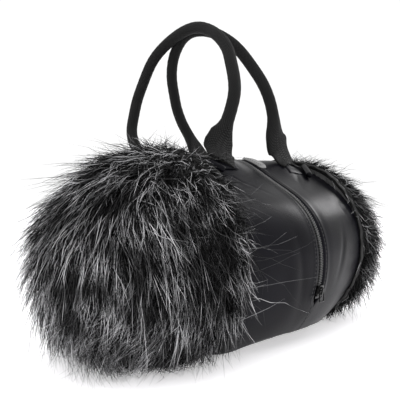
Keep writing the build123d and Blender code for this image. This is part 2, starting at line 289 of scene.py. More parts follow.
def grow(piece, tree, name, **values):
    """Runs a tree on a piece and returns its result as a plain mesh object."""
    modifier = piece.modifiers.new("nodes", "NODES")
    modifier.node_group = tree
    for item in tree.interface.items_tree:
        if item.in_out == "INPUT" and item.name in values:
            modifier[item.identifier] = values[item.name]
    piece.update_tag()
    graph = bpy.context.evaluated_depsgraph_get()
    mesh = bpy.data.meshes.new_from_object(piece.evaluated_get(graph), depsgraph=graph)
    grown = bpy.data.objects.new(name, mesh)
    bpy.context.scene.collection.objects.link(grown)
    bpy.data.objects.remove(piece)
    for attribute in list(mesh.attributes):
        if attribute.domain == "POINT" and attribute.name not in ("position",) and not attribute.is_internal:
            mesh.attributes.remove(mesh.attributes[attribute.name])
    triangles = sum(len(p.vertices) - 2 for p in mesh.polygons)
    print(name, "triangles", triangles)
    return grown


# %% [markdown]
# ## The camera, the floor and the light
# The camera stands at about half the object's height and close in, so the near cap looms.
# A pale floor, a white world and three soft panels of light give the broad, even sheen of a
# studio's light tent.

# %% Camera
CAMERA_PLACE = (-0.43103, -0.33676, 0.13449)
CAMERA_HEADING = radians(41.81)
CAMERA_PITCH = radians(0.09)
CAMERA_LENS = 47.97
camera = bpy.data.objects.new("camera", bpy.data.cameras.new("camera"))
camera.data.lens = CAMERA_LENS
camera.data.clip_start = 0.01
camera.location = CAMERA_PLACE
camera.rotation_euler = (pi / 2 + CAMERA_PITCH, 0, CAMERA_HEADING - pi / 2)
bpy.context.scene.collection.objects.link(camera)
bpy.context.scene.camera = camera
bpy.context.scene.view_settings.view_transform = "Standard"


# %% Floor and light
def soft_light(name, place, aim, size, power):
    lamp = bpy.data.lights.new(name, "AREA")
    lamp.shape = "RECTANGLE"
    lamp.size, lamp.size_y = size
    lamp.energy = power
    lamp.color = (1.0, 0.99, 1.0)
    light = bpy.data.objects.new(name, lamp)
    light.location = place
    light.rotation_euler = (Vector(aim) - Vector(place)).to_track_quat("-Z", "Y").to_euler()
    bpy.context.scene.collection.objects.link(light)


def plain_material(name, colour, roughness):
    material = bpy.data.materials.new(name)
    material.use_nodes = True
    shader = material.node_tree.nodes["Principled BSDF"]
    shader.inputs["Base Color"].default_value = (*colour, 1)
    shader.inputs["Roughness"].default_value = roughness
    return material


floor_size = 8.0
corners = [(x * floor_size, y * floor_size, 0) for x, y in ((-1, -1), (1, -1), (1, 1), (-1, 1))]
floor = new_piece("floor", corners, [(0, 1, 2, 3)])
floor_white = plain_material("floor_white", (0.95, 0.945, 0.96), 1.0)
floor_white.node_tree.nodes["Principled BSDF"].inputs["Emission Color"].default_value = (1, 0.99, 1, 1)
floor_white.node_tree.nodes["Principled BSDF"].inputs["Emission Strength"].default_value = 0.5
floor.data.materials.append(floor_white)
soft_light("over", (-0.25, -0.35, 1.2), (0, 0, 0.1), (0.8, 0.8), 2.2)
soft_light("side", (1.25, -0.12, 0.72), (0.05, -0.05, 0.15), (0.2, 0.4), 2.6)
soft_light("front", (-1.0, -0.5, 0.9), (-0.1, 0, 0.1), (0.5, 0.5), 4)
world = bpy.data.worlds.new("studio")
bpy.context.scene.world = world
world.use_nodes = True
world.node_tree.nodes["Background"].inputs["Color"].default_value = (1, 1, 1, 1)
world.node_tree.nodes["Background"].inputs["Strength"].default_value = 1.05

# %% [markdown]
# ## Materials
# Each finish is procedural. Leatherette gets a fine pebbled grain from a Voronoi layer with
# pores of noise on it, and a slow change of gloss. The fur reads its own strand map: across
# it is a number for the hair, and up it is the way from root to tip, so tips can be frosted
# and roots stay black.


# %% Material helpers
def new_material(name):
    material = bpy.data.materials.new(name)
    material.use_nodes = True
    tree = material.node_tree
    return material, tree, tree.nodes["Principled BSDF"]


def place_on(tree, scale=(1, 1, 1)):
    spot = add(tree, "ShaderNodeTexCoord").outputs["Object"]
    return add(tree, "ShaderNodeMapping", {"Vector": spot, "Scale": scale}).outputs[0]


def ramp(tree, factor, stops):
    node = add(tree, "ShaderNodeValToRGB", {"Fac": factor})
    elements = node.color_ramp.elements
    while len(elements) < len(stops):
        elements.new(0.5)
    for element, (position, level) in zip(elements, stops):
        element.position = position
        element.color = (*level, 1) if isinstance(level, tuple) else (level, level, level, 1)
    return node.outputs["Color"]


def bump(tree, height, distance, strength=1.0):
    sizes = {"Height": height, "Distance": distance, "Strength": strength}
    return add(tree, "ShaderNodeBump", sizes).outputs[0]


def leather_material(name, dark, light, rough_low, rough_high, specular):
    material, tree, shader = new_material(name)
    spot = place_on(tree)
    cells = add(tree, "ShaderNodeTexVoronoi", {"Vector": spot, "Scale": 900.0}, feature="SMOOTH_F1")
    pebble = cells.outputs["Distance"]
    pores = add(tree, "ShaderNodeTexNoise", {"Vector": spot, "Scale": 2600.0, "Detail": 3.0}).outputs["Fac"]
    slow = add(tree, "ShaderNodeTexNoise", {"Vector": spot, "Scale": 18.0, "Detail": 4.0}).outputs["Fac"]
    scuff = add(tree, "ShaderNodeTexNoise", {"Vector": spot, "Scale": 90.0, "Detail": 6.0}).outputs["Fac"]
    grain = maths(tree, "MULTIPLY_ADD", pores, 0.4, pebble)
    tree.links.new(bump(tree, grain, 0.12 * MM, 0.55), shader.inputs["Normal"])
    tone = maths(tree, "MULTIPLY_ADD", scuff, 0.35, maths(tree, "MULTIPLY", slow, 0.65))
    tree.links.new(ramp(tree, tone, [(0.35, dark), (0.68, light)]), shader.inputs["Base Color"])
    gloss = ramp(tree, tone, [(0.3, rough_low), (0.7, rough_high)])
    tree.links.new(gloss, shader.inputs["Roughness"])
    shader.inputs["Specular IOR Level"].default_value = specular
    return material


# %% Leather, piping and tab
leather = leather_material("leatherette_black", (0.0022, 0.0021, 0.0032), (0.0055, 0.0053, 0.0078),
                           0.27, 0.38, 0.055)
piping_leather = leather_material("piping_leather", 0.006, 0.016, 0.28, 0.4, 0.35)
# The tab is coloured light grey as a painted highlight, where its smooth top catches the light.
painted_highlight_leather = leather_material("tab_leather_painted_highlight", 0.14, 0.26, 0.42, 0.55, 0.4)


# %% Fur
def fur_material(name, root, tip, start, full, specular):
    material, tree, shader = new_material(name)
    strand = add(tree, "ShaderNodeUVMap", uv_map="strand").outputs[0]
    parts = add(tree, "ShaderNodeSeparateXYZ", {"Vector": strand})
    which, along = parts.outputs[0], parts.outputs[1]
    vary = add(tree, "ShaderNodeTexNoise", {"Vector": strand, "Scale": 60.0, "Detail": 1.0}).outputs["Fac"]
    reach = maths(tree, "MULTIPLY_ADD", vary, 0.5, maths(tree, "SUBTRACT", along, 0.25))
    frost = add(tree, "ShaderNodeMapRange", {"Value": reach, "From Min": start, "From Max": full}).outputs[0]
    patch = add(tree, "ShaderNodeTexNoise", {"Vector": place_on(tree), "Scale": 38.0, "Detail": 2.0}).outputs["Fac"]
    patch = add(tree, "ShaderNodeMapRange", {"Value": patch, "From Min": 0.42, "From Max": 0.6,
                                             "To Min": 0.1, "To Max": 1.0}).outputs[0]
    tone = add(tree, "ShaderNodeMapRange", {"Value": which, "From Min": 0.5, "From Max": 0.82,
                                            "To Min": 0.02, "To Max": 1.0}).outputs[0]
    tone = maths(tree, "MULTIPLY", tone, patch)
    colour = ramp(tree, maths(tree, "MULTIPLY", frost, tone), [(0.0, root), (1.0, tip)])
    tree.links.new(colour, shader.inputs["Base Color"])
    shader.inputs["Roughness"].default_value = 0.55
    shader.inputs["Specular IOR Level"].default_value = specular
    return material


fur_dark = fur_material("fur_black", (0.0008, 0.0008, 0.001), (0.006, 0.006, 0.0068), 0.35, 1.1, 0.04)
fur_light = fur_material("fur_frosted", (0.002, 0.002, 0.0022), (0.95, 0.95, 0.97), 0.15, 0.75, 0.12)


# %% Woven, moulded and metal finishes
def woven_material_painted_shade(name, dark, light, across, along, depth):
    """Webbing seen as rows of small raised bars, on the piece's own map, with painted shade in the grooves and a
    painted highlight on the bar tops.
    """
    material, tree, shader = new_material(name)
    spot = add(tree, "ShaderNodeUVMap", uv_map="along").outputs[0]
    place = add(tree, "ShaderNodeMapping", {"Vector": spot, "Scale": (across, along, 1)}).outputs[0]
    parts = add(tree, "ShaderNodeSeparateXYZ", {"Vector": place})
    u, v = parts.outputs[0], parts.outputs[1]
    step = maths(tree, "MULTIPLY", maths(tree, "FLOOR", u), 0.5)
    bar = maths(tree, "MULTIPLY", maths(tree, "ADD", v, step), pi)
    bar = maths(tree, "ABSOLUTE", maths(tree, "SINE", bar))
    rib = maths(tree, "ABSOLUTE", maths(tree, "SINE", maths(tree, "MULTIPLY", u, pi)))
    relief = maths(tree, "MULTIPLY", bar, maths(tree, "MULTIPLY_ADD", rib, 0.5, 0.5))
    fuzz = add(tree, "ShaderNodeTexNoise", {"Vector": place, "Scale": 6.0, "Detail": 3.0}).outputs["Fac"]
    height = maths(tree, "MULTIPLY_ADD", fuzz, 0.3, relief)
    tree.links.new(bump(tree, height, depth), shader.inputs["Normal"])
    # The colour follows the relief: the grooves are darker as painted shade and the bar tops lighter as a painted
    # highlight.
    tree.links.new(ramp(tree, height, [(0.25, dark), (1.0, light)]), shader.inputs["Base Color"])
    shader.inputs["Roughness"].default_value = 0.62
    shader.inputs["Specular IOR Level"].default_value = 0.08
    shader.inputs["Sheen Weight"].default_value = 0.01
    shader.inputs["Sheen Roughness"].default_value = 0.4
    return material


def speckled_material(name, dark, light, scale, roughness, depth, metallic=0.0):
    material, tree, shader = new_material(name)
    grain = add(tree, "ShaderNodeTexNoise", {"Vector": place_on(tree), "Scale": scale, "Detail": 5.0}).outputs["Fac"]
    tree.links.new(ramp(tree, grain, [(0.3, dark), (0.7, light)]), shader.inputs["Base Color"])
    tree.links.new(bump(tree, grain, depth, 0.6), shader.inputs["Normal"])
    shader.inputs["Roughness"].default_value = roughness
    shader.inputs["Metallic"].default_value = metallic
    return material


# Both cloths carry painted shade in the weave's grooves and a painted highlight on its bars.
webbing = woven_material_painted_shade("webbing_black", 0.0004, 0.02, 40.0, 400.0, 0.7 * MM)
tape_cloth = woven_material_painted_shade("zip_tape_black", 0.001, 0.004, 20.0, 900.0, 0.2 * MM)
chain_plastic = speckled_material("chain_black", 0.03, 0.09, 900.0, 0.3, 0.05 * MM)
thread = speckled_material("thread_black", 0.012, 0.035, 3000.0, 0.5, 0.05 * MM)
slider_metal = speckled_material("slider_gunmetal", 0.006, 0.02, 700.0, 0.25, 0.02 * MM, 0.9)
foam = speckled_material("foam_grey", 0.015, 0.05, 700.0, 0.9, 0.6 * MM)
board_plastic = speckled_material("board_black", 0.02, 0.04, 400.0, 0.6, 0.05 * MM)
undercoat = speckled_material("undercoat_black", 0.0008, 0.003, 500.0, 0.95, 1.5 * MM)

# %% [markdown]
# ## The leather panels
# Each half of the barrel is one panel of thin leather. It could be a plain tube, but soft
# leather shows its shape in its gloss, so the panel is a fine grid with a few slow folds, a
# pucker along the sewn ends, a pressed channel under each stitch line and a folded lip at the
# zip. The right panel bends at the bottom where the two halves hinge.

# %% Panel shape
LIP_HALF = 4.3 * MM
CREASES = [(-0.058, 50, 0.014, 62, 2.2, 0.9), (-0.046, 57, 0.012, 48, 2.6, 0.7), (-0.074, 62, 0.013, 78, 2.4, 0.8),
           (0.050, 46, 0.018, -50, 3.4, 0.8), (0.080, 84, 0.013, 60, 3.2, 0.5), (-0.030, 112, 0.030, 80, 5.0, 0.5),
           (0.044, 104, 0.022, -70, 4.4, 0.6), (-0.060, -60, 0.030, 65, 3.6, 0.9), (0.055, -75, 0.030, -65, 3.6, 0.9)]


def folds(x, angle):
    """A few soft diagonal creases: x, angle, half length, slope, width and depth."""
    around = angle * ZIP_RADIUS
    total = np.zeros(np.broadcast(x, angle).shape)
    for cx, ca, length, slope, width, depth in CREASES:
        dx, da = x - cx, around - radians(ca) * ZIP_RADIUS
        run = dx * cos(radians(slope)) + da * sin(radians(slope))
        off = -dx * sin(radians(slope)) + da * cos(radians(slope))
        fade = np.exp(-(run / length) ** 2)
        valley = np.exp(-(off / (width * MM)) ** 2)
        ridge = np.exp(-((off - 2 * width * MM) / (1.7 * width * MM)) ** 2)
        total += -depth * MM * fade * (valley - 0.6 * ridge)
    return total


def panel_piece(side, rows=360, columns=72):
    angles = np.linspace(-pi, pi, rows, endpoint=False)[:, None]
    zipped = 1 - smooth(ZIP_HALF_ANGLE - radians(1), ZIP_HALF_ANGLE + radians(5), np.abs(angles))
    lip = 0.1 * MM + (LIP_HALF - 0.1 * MM) * zipped
    share = np.linspace(0, 1, columns)[None, :]
    spread = share ** 1.25
    x = side * (lip + (PANEL_HALF - lip) * spread)
    from_lip = np.abs(x) - lip
    base = barrel_point(x, angles)
    inside = smooth(0, 0.02, from_lip) * smooth(0, 0.02, PANEL_HALF - np.abs(x))
    slow = wrinkle(base, 12.0, 1) * 1.1 + wrinkle(base, 34.0, 2) * 0.28
    lift = inside * (slow * MM + folds(x, angles))
    lift += -1.3 * MM * (1 - np.sqrt(np.clip(from_lip / (1.6 * MM), 0, 1))) * zipped
    for row in ((3.4, 6.6) if side < 0 else (3.4,)):
        lift -= 0.35 * MM * np.exp(-((from_lip - row * MM) / (0.6 * MM)) ** 2) * zipped
    bulge = np.exp(-((from_lip - 5.0 * MM) / (3.0 * MM)) ** 2) * 0.5 * MM * zipped
    seam = np.exp(-(PANEL_HALF - np.abs(x)) / (7 * MM))
    pucker = np.sin(angles * 96 + 3 * np.sin(angles * 11)) * 0.35 * MM * seam
    lift = lift + bulge + pucker
    outer = barrel_point(x, angles, lift)
    outer[..., 2] = np.maximum(outer[..., 2], 0)
    inner = barrel_point(x, angles, lift - LEATHER * 0.95)
    return shell_mesh(("left" if side < 0 else "right") + "_leather", outer, inner)


hinge = joints["open_right_half"]["pos_m"]
rolled_up = np.array([0, sin(ROLL), cos(ROLL)])
fold_start = tuple(hinge)
fold_end = tuple(np.array(hinge) + 0.016 * (0.707 * np.array([1, 0, 0]) + 0.707 * rolled_up))
left_leather, right_leather = panel_piece(-1), panel_piece(1)
for piece, node in ((left_leather, "left_panel"), (right_leather, "right_panel")):
    piece.data.materials.append(leather)
    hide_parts(node)
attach(left_leather, "left_half")
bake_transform(right_leather, "left_half", "right_half", start=fold_start, end=fold_end)
print("leather faces:", len(left_leather.data.polygons), len(right_leather.data.polygons))

# %% [markdown]
# ## The lining, the foam and the seam at the bottom
# A foam layer lies inside each half and a foam dome fills each cap. They show when the zip
# is open. A dark strip sewn behind the two panels joins the halves under the zip's ends.


# %% Lining and domes
def lining_piece(side):
    angles = np.linspace(-pi, pi, 120, endpoint=False)[:, None]
    x = side * np.linspace(16.5 * MM, PANEL_HALF - 0.5 * MM, 24)[None, :]
    quilt = 0.9 * MM * np.cos(x / PANEL_HALF * 4 * pi) * np.cos(angles * 12)
    outer = barrel_point(x, angles, np.full(np.broadcast(x, angles).shape, -2.6 * MM))
    inner = barrel_point(x, angles, -9.0 * MM + quilt)
    return shell_mesh(("left" if side < 0 else "right") + "_lining", outer, inner)


def dome_grid(side, reach, radius, rows=96, columns=30, rough=0.0, seed=5):
    """Rows round the barrel's axis, columns from the seam to just short of the pole."""
    angles = np.linspace(-pi, pi, rows, endpoint=False)[:, None]
    polar = np.linspace(0, pi / 2 - 0.03, columns)[None, :]
    x = side * (PANEL_HALF + reach * np.sin(polar)) + 0 * angles
    out = radius * np.cos(polar)
    floor_gap = SEAM_RADIUS - radius + 1.2 * MM if radius < SEAM_RADIUS else 0.4 * MM
    grid = np.stack([x, -out * np.sin(angles), np.maximum(SEAM_Z + out * np.cos(angles), floor_gap)], -1)
    if rough:
        away = grid - np.array([side * PANEL_HALF, 0, SEAM_Z])
        away = away / np.linalg.norm(away, axis=-1, keepdims=True)
        grid = grid + away * (wrinkle(grid, 60.0, seed) * rough)[..., None]
    return grid


for side, word in ((-1, "left"), (1, "right")):
    lining = lining_piece(side)
    lining.data.materials.append(foam)
    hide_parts(word + "_panel_lining")
    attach(lining, word + "_half")
    dome = shell_mesh(word + "_dome", dome_grid(side, CAP_DEPTH - 0.0016, SEAM_RADIUS - 0.0016),
                      dome_grid(side, CAP_DEPTH - 0.0132, SEAM_RADIUS - 0.0132, rough=0.0006))
    dome.data.materials.append(foam)
    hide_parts(word + "_cap_foam")
    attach(dome, word + "_half")
print("lining and domes made")


# %% The strip behind the bottom seam
def gusset_piece():
    reach = pi - ZIP_HALF_ANGLE - radians(1)
    angles = np.linspace(pi - reach, pi + reach, 60)[:, None]
    x = np.linspace(-14.5 * MM, 14.5 * MM, 12)[None, :]
    outer = barrel_point(x, angles, np.full((60, 12), -2.35 * MM))
    inner = barrel_point(x, angles, np.full((60, 12), -4.1 * MM))
    return shell_mesh("bottom_strip", outer, inner, closed_rows=False)


gusset = gusset_piece()
gusset.data.materials.append(leather)
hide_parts("base_gusset")
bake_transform(gusset, "left_half", "right_half", start=fold_start, end=fold_end)
print("bottom strip faces:", len(gusset.data.polygons))

# %% [markdown]
# ## Rows of small parts
# Zip teeth and stitches are the same little lump set down hundreds of times along a path.
# They could be copied by hand in a loop, but Geometry Nodes does it in one step: the path's
# points carry the way each lump faces, and the tree sets a lump on every point.


# %% A row of lumps
def lump_nodes(material):
    tree, given = new_nodes("lumps_" + material.name, [("Long", "Float"), ("Wide", "Float"), ("High", "Float")])
    lump = add(tree, "GeometryNodeMeshUVSphere", {"Segments": 8, "Rings": 5, "Radius": 1.0}).outputs["Mesh"]
    size = add(tree, "ShaderNodeCombineXYZ", {0: given["Long"], 1: given["Wide"], 2: given["High"]}).outputs[0]
    facing = add(tree, "GeometryNodeInputNamedAttribute", {"Name": "facing"}, data_type="FLOAT_VECTOR")
    facing = facing.outputs["Attribute"]
    dots = add(tree, "GeometryNodeMeshToPoints", {"Mesh": given["Geometry"]}).outputs[0]
    placed = add(tree, "GeometryNodeInstanceOnPoints", {"Points": dots, "Instance": lump, "Rotation": facing,
                                                        "Scale": size})
    finish_nodes(tree, placed.outputs[0], material)
    return tree


def facing_of(along, out):
    """Euler turns that point each lump's X along the row and its Z outwards."""
    turns = []
    for a, o in zip(along, out):
        a, o = Vector(a).normalized(), Vector(o).normalized()
        side = o.cross(a).normalized()
        turns.append(Matrix((a, side, a.cross(side))).transposed().to_euler())
    return np.array([tuple(t) for t in turns])


def row_of_lumps(name, places, along, out, size, material):
    mesh = bpy.data.meshes.new(name + "_row")
    mesh.from_pydata([tuple(p) for p in places], [], [])
    facing = mesh.attributes.new("facing", "FLOAT_VECTOR", "POINT")
    facing.data.foreach_set("vector", facing_of(along, out).astype(np.float32).ravel())
    row = bpy.data.objects.new(name + "_row", mesh)
    bpy.context.scene.collection.objects.link(row)
    piece = grow(row, lump_nodes(material), name, Long=size[0], Wide=size[1], High=size[2])
    piece.data.polygons.foreach_set("use_smooth", [True] * len(piece.data.polygons))
    return piece


def barrel_row(name, x, first, last, pitch, lift, size, material, across=0.0, jitter=0.0):
    """Lumps round the barrel at x, every pitch, from one angle to the other."""
    count = max(2, int((last - first) * ZIP_RADIUS / pitch))
    angles = np.linspace(first, last, count)
    rng = np.random.default_rng(int(abs(x) * 1e5) + 7)
    angles = angles + rng.normal(0, jitter, count) * pitch / ZIP_RADIUS
    places = barrel_point(np.full(count, x), angles, lift)
    step = barrel_point(np.full(count, x), angles + 0.002, lift) - places
    slant = np.array([[across, 0, 0]])
    along = step / np.linalg.norm(step, axis=1, keepdims=True) + slant
    return row_of_lumps(name, places, along, outward(angles), size, material)


# %% [markdown]
# ## The zip
# The zip is two cloth tapes with a row of moulded teeth on each. The tapes are sewn behind
# the folded lips of the leather, so the chain lies in a shallow trench. Each tooth of one
# side sits in a gap of the other side.

# %% Tapes and chain
zip_end = ZIP_HALF_ANGLE - radians(2.2)
for side, word in ((-1, "left"), (1, "right")):
    angles = np.linspace(-ZIP_HALF_ANGLE, ZIP_HALF_ANGLE, 260)[:, None]
    x = side * np.linspace(0.7 * MM, 13.5 * MM, 14)[None, :]
    bead = 0.5 * MM * np.exp(-((np.abs(x) - 1.4 * MM) / (0.6 * MM)) ** 2)
    outer = barrel_point(x, angles, -2.15 * MM + bead + 0 * angles)
    inner = barrel_point(x, angles, -2.75 * MM + 0 * x + 0 * angles)
    spots = np.stack(np.broadcast_arrays(np.abs(x) / 0.014, angles * ZIP_RADIUS), -1)
    tape = shell_mesh(word + "_tape", outer, inner, closed_rows=False, uv=spots)
    tape.data.materials.append(tape_cloth)
    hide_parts(word + "_zip_tape")
    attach(tape, word + "_half")
    shift = 0.0 if side < 0 else 1.1 * MM / ZIP_RADIUS
    chain = barrel_row(word + "_chain", side * 1.15 * MM, -zip_end + shift,
                       zip_end + shift - radians(1.3), 2.2 * MM, -0.9 * MM, (0.78 * MM, 1.75 * MM, 1.0 * MM), chain_plastic)
    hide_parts(word + "_zip_teeth")
    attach(chain, word + "_half")

# %% Stitches along the zip and below it
for word, side, gap, rows in (("left", -1, 3.4, 2), ("right", 1, 3.4, 1)):
    for number in range(rows):
        x = side * (LIP_HALF + (gap + 3.2 * number) * MM)
        stitches = barrel_row(f"{word}_zip_stitches_{number + 1}", x, -ZIP_HALF_ANGLE + 0.03,
                              ZIP_HALF_ANGLE - 0.03, 3.6 * MM, 0.15 * MM,
                              (1.25 * MM, 0.36 * MM, 0.34 * MM), thread, jitter=0.05)
        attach(stitches, word + "_half")
seam_first = ZIP_HALF_ANGLE + radians(6)
seam_stitches = barrel_row("bottom_seam_stitches", -2.2 * MM, seam_first, tau - seam_first, 3.6 * MM, 0.1 * MM,
                           (1.25 * MM, 0.34 * MM, 0.3 * MM), thread)
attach(seam_stitches, "left_half")

# %% [markdown]
# ## The slider
# The slider is a small cast plate with rounded edges, a flange down its side and a bridge
# that carries the ring. It is built from bevelled blocks, turned to its place on the zip.


# %% Slider shape
def slider_piece():
    low_corner, high_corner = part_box("slider_body")
    middle_y = (low_corner.y + high_corner.y) / 2
    middle_z = (low_corner.z + high_corner.z) / 2
    turn = np.arctan2(-middle_y, middle_z - ZIP_CENTRE_Z)
    angle = turn + ROLL
    work = bmesh.new()
    blocks = [((0, 0, 1.55), (8.6, 10.4, 1.5)), ((-4.0, 0, 0.3), (0.9, 8.6, 2.0)), ((4.0, 0, 0.3), (0.9, 8.6, 2.0)),
              ((0, -2.9, 2.9), (2.4, 1.5, 1.9)), ((0, 2.9, 2.9), (2.4, 1.5, 1.9)), ((0, 0, 4.0), (2.4, 6.8, 1.1))]
    for centre, size in blocks:
        made = bmesh.ops.create_cube(work, size=1.0)
        bmesh.ops.scale(work, vec=Vector(size) * MM, verts=made["verts"])
        bmesh.ops.translate(work, vec=Vector(centre) * MM, verts=made["verts"])
    taper = [v for v in work.verts if v.co.z < 2.4 * MM]
    for vertex in taper:
        vertex.co.x *= 1 - 0.16 * (vertex.co.y / (5.2 * MM))
    bmesh.ops.bevel(work, geom=list(work.edges), offset=0.42 * MM, segments=3, affect="EDGES", profile=0.6)
    mesh = bpy.data.meshes.new("slider")
    seat = barrel_point(0.0, angle, -0.1 * MM)
    spin = Matrix.Rotation(turn, 4, "X")
    bmesh.ops.transform(work, matrix=Matrix.Translation(Vector(seat)) @ spin, verts=work.verts)
    work.to_mesh(mesh)
    work.free()
    mesh.polygons.foreach_set("use_smooth", [True] * len(mesh.polygons))
    piece = bpy.data.objects.new("slider", mesh)
    bpy.context.scene.collection.objects.link(piece)
    return piece


slider = slider_piece()
slider.data.materials.append(slider_metal)
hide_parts("slider_body")
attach(slider, "slider")
print("slider faces:", len(slider.data.polygons))


# %% [markdown]
# ## Piping round each fur seam
# A thin leather cord is sewn into the seam where the leather meets the fur. It is a tube
# along the seam's circle, a little uneven, as a sewn cord is.

# %% Piping
for side, word in ((-1, "left"), (1, "right")):
    turns = np.linspace(0, tau, 260, endpoint=False)
    wave = 0.35 * MM * np.sin(turns * 37) + 0.3 * MM * np.sin(turns * 11 + 1)
    reach = SEAM_RADIUS + 1.9 * MM + wave
    centres = np.stack([np.full_like(turns, side * PANEL_HALF) + 0.2 * wave, -reach * np.sin(turns),
                        SEAM_Z + reach * np.cos(turns)], -1)
    across = np.tile([[1.0, 0, 0]], (len(turns), 1))
    centres[:, 2] = np.maximum(centres[:, 2], 1.8 * MM)
    out = np.stack([0 * turns, -np.sin(turns), np.cos(turns)], -1)
    thick = 1.75 * MM * (1 + 0.05 * np.sin(turns * 53))
    cord = tube_mesh(word + "_piping_cord", centres, across, out, thick, thick, around=14, closed=True)
    cord.data.materials.append(piping_leather)
    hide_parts(word + "_piping")
    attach(cord, word + "_half")
print("piping made")

# %% [markdown]
# ## The handles
# Each handle is one length of flat webbing. Its middle is rolled into a round grip and sewn,
# and its ends open out flat where they are stitched to the barrel. One tube whose section
# changes from a flat strip to a circle shows that, with no seams between parts. Near each
# foot the webbing bends when the handle folds over.

# %% Handle routes
PLANES = {}
ROUTES = {
    "left": [(-8, 24), (-17, 42), (-23, 62), (-22, 88), (-15, 116), (0, 142), (21, 160), (44, 168),
             (70, 167), (97, 154), (116, 128), (128, 99), (131, 82), (126, 62), (110, 34), (97, 14)],
    "right": [(-9, 24), (-15.5, 43), (-18.5, 62), (-18, 84), (-11, 112), (-1, 135), (16, 156), (40, 168),
              (58, 167), (76, 157), (90, 137), (99, 110), (101, 89), (99, 68), (96, 42), (92, 16)],
}
FEET = {"left": [(62, 36.5, 3.0), (58.5, 34, 3.0), (55, 31, 3.6), (51, 27.5, 7.0)],
        "right": [(56, 33.5, 2.8), (54.5, 31.5, 3.4), (52, 29, 6.5), (49, 26.5, 13.0)]}
WIDTHS = {"left": [(0, 14.5, 1.5), (10, 15.5, 1.5), (22, 18.5, 2.0), (34, 16.5, 3.0),
                   (44, 10.0, 5.0), (51, 6.6, 6.0), (60, 6.1, 6.1)],
          "right": [(0, 17.0, 1.5), (10, 18.0, 1.5), (22, 18.5, 2.2), (34, 15.0, 3.4),
                    (46, 10.0, 5.0), (56, 7.0, 5.8), (66, 6.1, 6.1)],
          "back": [(0, 14.5, 1.5), (20, 16.5, 1.5), (46, 17.5, 2.4), (58, 13.5, 3.5),
                   (68, 9.0, 5.2), (76, 6.6, 6.0), (84, 6.1, 6.1)]}


def smooth_route(points, count):
    """A smooth curve through the points, with evenly spaced samples."""
    points = np.array(points, float)
    knots = np.concatenate([[0], np.cumsum(np.sqrt(np.linalg.norm(np.diff(points, axis=0), axis=1)))])
    fine = []
    padded = np.vstack([2 * points[0] - points[1], points, 2 * points[-1] - points[-2]])
    spaces = np.concatenate([[knots[0] - (knots[1] - knots[0])], knots, [knots[-1] + knots[-1] - knots[-2]]])
    for i in range(1, len(padded) - 2):
        t = np.linspace(spaces[i], spaces[i + 1], 24, endpoint=False)[:, None]
        a, b, c, d = padded[i - 1:i + 3]
        ta, tb, tc, td = spaces[i - 1:i + 3]
        ab, bc, cd = [((q - t) * p0 + (t - p) * p1) / (q - p)
                      for p, q, p0, p1 in ((ta, tb, a, b), (tb, tc, b, c), (tc, td, c, d))]
        abc = ((tc - t) * ab + (t - ta) * bc) / (tc - ta)
        bcd = ((td - t) * bc + (t - tb) * cd) / (td - tb)
        fine.append(((tc - t) * abc + (t - tb) * bcd) / (tc - tb))
    fine = np.vstack(fine + [points[-1:]])
    run = np.concatenate([[0], np.cumsum(np.linalg.norm(np.diff(fine, axis=0), axis=1))])
    even = np.linspace(0, run[-1], count)
    return np.stack([np.interp(even, run, fine[:, k]) for k in range(fine.shape[1])], -1), even


def handle_plane(side):
    """The front foot, then the directions along the feet, up the handle and across it."""
    front, back = (barrel_point(side * FOOT_X, foot + ROLL) for foot in FOOT_TURNS)
    along = (back - front) / np.linalg.norm(back - front)
    normal = np.cross(along, np.array([side * 6.6, 50.0, 321.0]) * MM - front)
    normal /= np.linalg.norm(normal)
    return front, along, np.cross(normal, along), normal


def handle_piece(word, side, count=360, around=40):
    front, along, up, normal = PLANES[word] = handle_plane(side)
    middle = [front + (u * along + v * up) * MM for u, v in ROUTES[word]]
    start = [barrel_point(side * x * MM, radians(angle), lift * MM) for x, angle, lift in FEET[word]]
    stop = [barrel_point(side * x * MM, -radians(angle), lift * MM) for x, angle, lift in FEET[word][::-1]]
    centres, run = smooth_route(start + middle + stop, count)
    step = np.gradient(centres, axis=0)
    step /= np.linalg.norm(step, axis=1, keepdims=True)
    across = np.array([1.0, 0, 0]) - step[:, :1] * step
    across /= np.linalg.norm(across, axis=1, keepdims=True)
    inward = np.cross(step, across)
    front_part, back_part = np.array(WIDTHS[word]), np.array(WIDTHS["back"])
    wide, thin = (np.where(run < run[-1] / 2, np.interp(run / MM, front_part[:, 0], front_part[:, k]),
                           np.interp((run[-1] - run) / MM, back_part[:, 0], back_part[:, k]))[:, None] * MM
                  for k in (1, 2))
    flat = np.clip((wide / MM - 6) / 12, 0, 1)
    turns = (np.arange(around) * tau / around)[None, :]
    power = 1 - 0.5 * flat
    square_a = np.sign(np.cos(turns)) * np.abs(np.cos(turns)) ** power
    square_b = np.sign(np.sin(turns)) * np.abs(np.sin(turns)) ** power
    curl = (square_a ** 2 - 0.35) * 1.5 * MM * 4 * flat * (1 - flat)
    weave = 0.14 * MM * np.cos(turns * 12) * np.cos(run[:, None] / (1.3 * MM)) * (1 - flat)
    swell = 0.3 * MM * np.sin(run[:, None] / (9 * MM) + turns) * (1 - flat)
    drift = wrinkle(centres, 40.0, 3 + side)[:, None] * 0.6 * MM
    half_a, half_b = wide + weave + swell, thin + weave + swell
    rings = (centres[:, None, :] + across[:, None, :] * (half_a * square_a + drift)[..., None]
             + inward[:, None, :] * (half_b * square_b + curl)[..., None])
    faces = grid_faces(count, around, 0, False, True)
    faces += [tuple(range(around)), tuple((count - 1) * around + k for k in range(around))]
    spots = np.stack(np.broadcast_arrays(np.arange(around)[None, :] / around, run[:, None]), -1)
    piece = new_piece(word + "_handle_roll", rings.reshape(-1, 3), faces, spots.reshape(-1, 2))
    piece.data.materials.append(webbing)
    return piece


